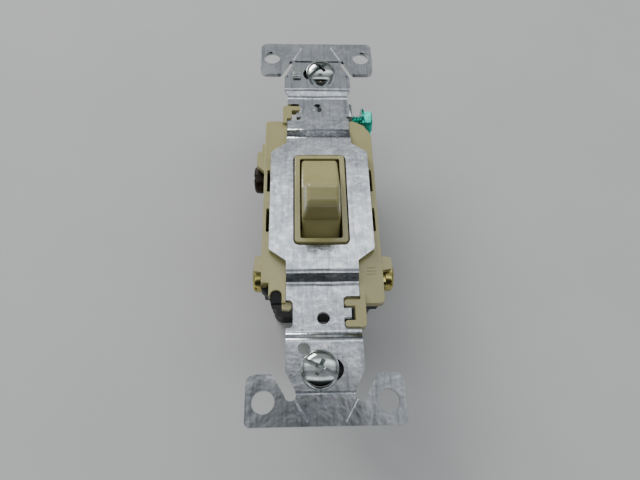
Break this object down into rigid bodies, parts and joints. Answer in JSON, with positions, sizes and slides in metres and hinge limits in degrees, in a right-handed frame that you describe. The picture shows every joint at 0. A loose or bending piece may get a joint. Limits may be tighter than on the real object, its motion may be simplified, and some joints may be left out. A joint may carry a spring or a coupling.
{
  "type": "toggle wall switch",
  "caption": "Three-way toggle wall switch on a steel mounting strap, side and back wired, with ground screw.",
  "frame": {"origin": "centre of the two box screws' pattern, on the back plane of the strap's ears", "axes": "+Z out of the wall towards the user, +Y along the strap to the ground-screw end, +X to the right seen from the front"},
  "size_m": [0.0347, 0.1065, 0.0419],
  "materials": {
    "zinc_steel": "satin galvanised sheet steel, mottled, with faint rolling marks",
    "ivory_plastic": "semi-gloss moulded ivory thermoplastic",
    "black_plastic": "black moulded thermoset, slightly glossy",
    "zinc_screw": "bright zinc-plated steel",
    "brass": "golden brass, lightly tarnished",
    "silver_contact": "dull silver alloy contact",
    "white_plastic": "white moulded nylon",
    "spring_steel": "bright spring wire",
    "green_metal": "green dyed plating on steel",
    "fibre": "black vulcanised fibre card",
    "dark_oxide": "dark brown-black oxide on steel"
  },
  "bodies": {
    "housing": {"strap": "zinc_steel", "front_housing": "ivory_plastic", "rear_body": "black_plastic", "assembly_screws": "zinc_screw", "common_terminal": "brass", "fixed_contact_near": "silver_contact", "fixed_contact_far": "silver_contact", "grounding_clip": "zinc_screw", "traveller_terminal_left": "brass", "traveller_terminal_right": "brass"},
    "toggle": {"toggle_lever": "ivory_plastic", "over_center_spring": "spring_steel"},
    "plunger": {"spring_plunger": "white_plastic"},
    "rocker": {"contact_rocker": "brass", "moving_contact_near": "silver_contact", "moving_contact_far": "silver_contact"},
    "ground_screw": {"ground_screw": "green_metal"},
    "common_clamp": {"common_clamp": "dark_oxide"},
    "common_screw": {"common_screw": "dark_oxide"},
    "traveller_left_clamp": {"traveller_left_clamp": "brass"},
    "traveller_left_screw": {"traveller_left_screw": "brass"},
    "traveller_right_clamp": {"traveller_right_clamp": "brass"},
    "traveller_right_screw": {"traveller_right_screw": "brass"},
    "retainer_near": {"retaining_washer_near": "fibre"},
    "box_screw_near": {"box_screw_near": "zinc_screw"},
    "retainer_far": {"retaining_washer_far": "fibre"},
    "box_screw_far": {"box_screw_far": "zinc_screw"}
  },
  "joints": [
    {"name": "toggle_swing", "type": "hinge", "parent": "housing", "child": "toggle", "pos_m": [0, 0, -0.004], "axis": [-1, 0, 0], "range_deg": [0, 40]},
    {"name": "rocker_swing", "type": "hinge", "parent": "housing", "child": "rocker", "pos_m": [0, 0, -0.017], "axis": [1, 0, 0], "range_deg": [0, 14]},
    {"name": "plunger_press", "type": "slide", "parent": "toggle", "child": "plunger", "axis": [0, -0.342, 0.9397], "range_m": [0, 0.0012], "stiffness_N_per_m": 400, "springref_m": -0.004, "deforming": ["over_center_spring"]},
    {"name": "ground_screw_turn", "type": "hinge", "parent": "housing", "child": "ground_screw", "pos_m": [0.01225, 0.0286, -0.0045], "axis": [1, 0, 0], "continuous": true},
    {"name": "common_clamp_travel", "type": "slide", "parent": "housing", "child": "common_clamp", "axis": [-1, 0, 0], "range_m": [-0.0012, 0.0012]},
    {"name": "common_screw_turn", "type": "hinge", "parent": "common_clamp", "child": "common_screw", "pos_m": [-0.0148, 0.0105, -0.0062], "axis": [1, 0, 0], "range_deg": [-544, 544]},
    {"name": "traveller_left_clamp_travel", "type": "slide", "parent": "housing", "child": "traveller_left_clamp", "axis": [-1, 0, 0], "range_m": [-0.00055, 0.00185]},
    {"name": "traveller_left_screw_turn", "type": "hinge", "parent": "traveller_left_clamp", "child": "traveller_left_screw", "pos_m": [-0.01415, -0.0178, -0.0062], "axis": [1, 0, 0], "range_deg": [-249, 838]},
    {"name": "traveller_right_clamp_travel", "type": "slide", "parent": "housing", "child": "traveller_right_clamp", "axis": [1, 0, 0], "range_m": [-0.0015, 0.0009]},
    {"name": "traveller_right_screw_turn", "type": "hinge", "parent": "traveller_right_clamp", "child": "traveller_right_screw", "pos_m": [0.0151, -0.0178, -0.0062], "axis": [-1, 0, 0], "range_deg": [-680, 408]},
    {"name": "box_screw_near_shift", "type": "slide", "parent": "housing", "child": "retainer_near", "axis": [1, 0, 0], "range_m": [-0.001, 0.0032]},
    {"name": "box_screw_near_turn", "type": "hinge", "parent": "retainer_near", "child": "box_screw_near", "pos_m": [-0.0011, -0.04167, 0], "axis": [0, 0, 1], "continuous": true},
    {"name": "box_screw_far_shift", "type": "slide", "parent": "housing", "child": "retainer_far", "axis": [1, 0, 0], "range_m": [-0.001, 0.0011]},
    {"name": "box_screw_far_turn", "type": "hinge", "parent": "retainer_far", "child": "box_screw_far", "pos_m": [0.001, 0.04167, 0], "axis": [0, 0, 1], "continuous": true}
  ],
  "couplings": [
    {"joint": "rocker_swing", "follows": "toggle_swing", "ratio": 0.35},
    {"joint": "common_clamp_travel", "follows": "common_screw_turn", "m_per_rad": 0.00012637},
    {"joint": "traveller_left_clamp_travel", "follows": "traveller_left_screw_turn", "m_per_rad": 0.00012637},
    {"joint": "traveller_right_clamp_travel", "follows": "traveller_right_screw_turn", "m_per_rad": 0.00012637}
  ]
}
